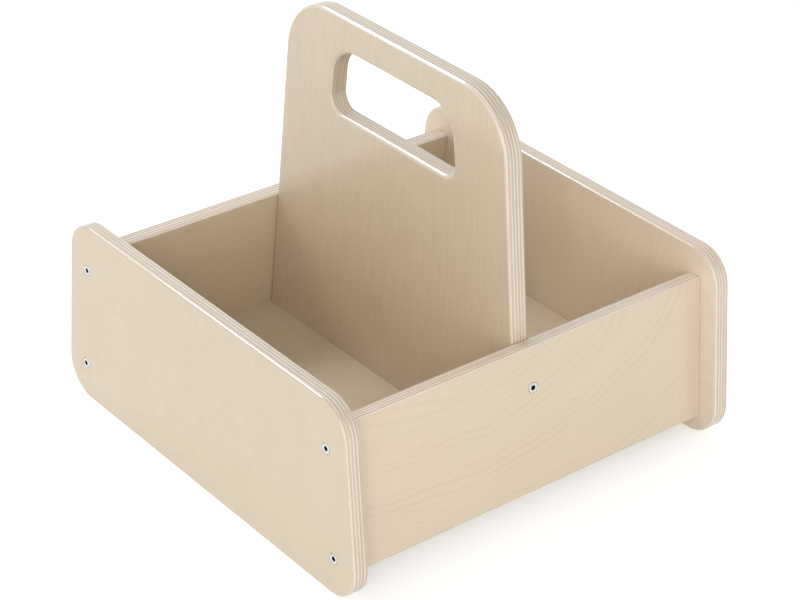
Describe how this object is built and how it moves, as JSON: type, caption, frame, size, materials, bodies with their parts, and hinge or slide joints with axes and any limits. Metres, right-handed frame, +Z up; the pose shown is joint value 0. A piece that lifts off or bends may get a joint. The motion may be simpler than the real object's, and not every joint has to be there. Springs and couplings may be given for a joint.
{
  "type": "picture book browser bin",
  "caption": "Plywood carry bin for picture books: rounded end panels, leaning side panels and a tall middle divider that ends in a hand slot.",
  "frame": {"origin": "on the floor under the middle of the bin", "axes": "+X across the bin towards the right side panel, +Y from the front end panel to the back one, +Z up"},
  "size_m": [0.3448, 0.3376, 0.2945],
  "materials": {
    "end_plywood": "clear lacquered birch plywood, 12 mm, sanded ply edges",
    "side_plywood": "clear lacquered birch plywood, 12 mm, grain along the board",
    "divider_plywood": "clear lacquered birch plywood, 15 mm, rounded ply edges",
    "base_plywood": "clear lacquered birch plywood, 9 mm",
    "screw_steel": "bright zinc plated",
    "dowel_beech": "plain turned beech"
  },
  "bodies": {
    "root": {"front_end_panel": "end_plywood", "back_end_panel": "end_plywood", "right_side_panel": "side_plywood", "left_side_panel": "side_plywood", "handle_divider": "divider_plywood", "base_panel": "base_plywood", "front_right_lower_screw": "screw_steel", "front_right_upper_screw": "screw_steel", "front_left_lower_screw": "screw_steel", "front_left_upper_screw": "screw_steel", "back_right_lower_screw": "screw_steel", "back_right_upper_screw": "screw_steel", "back_left_lower_screw": "screw_steel", "back_left_upper_screw": "screw_steel", "right_divider_screw": "screw_steel", "left_divider_screw": "screw_steel", "left_base_screw": "screw_steel", "middle_base_screw": "screw_steel", "right_base_screw": "screw_steel", "right_divider_dowel": "dowel_beech", "left_divider_dowel": "dowel_beech"}
  },
  "joints": []
}
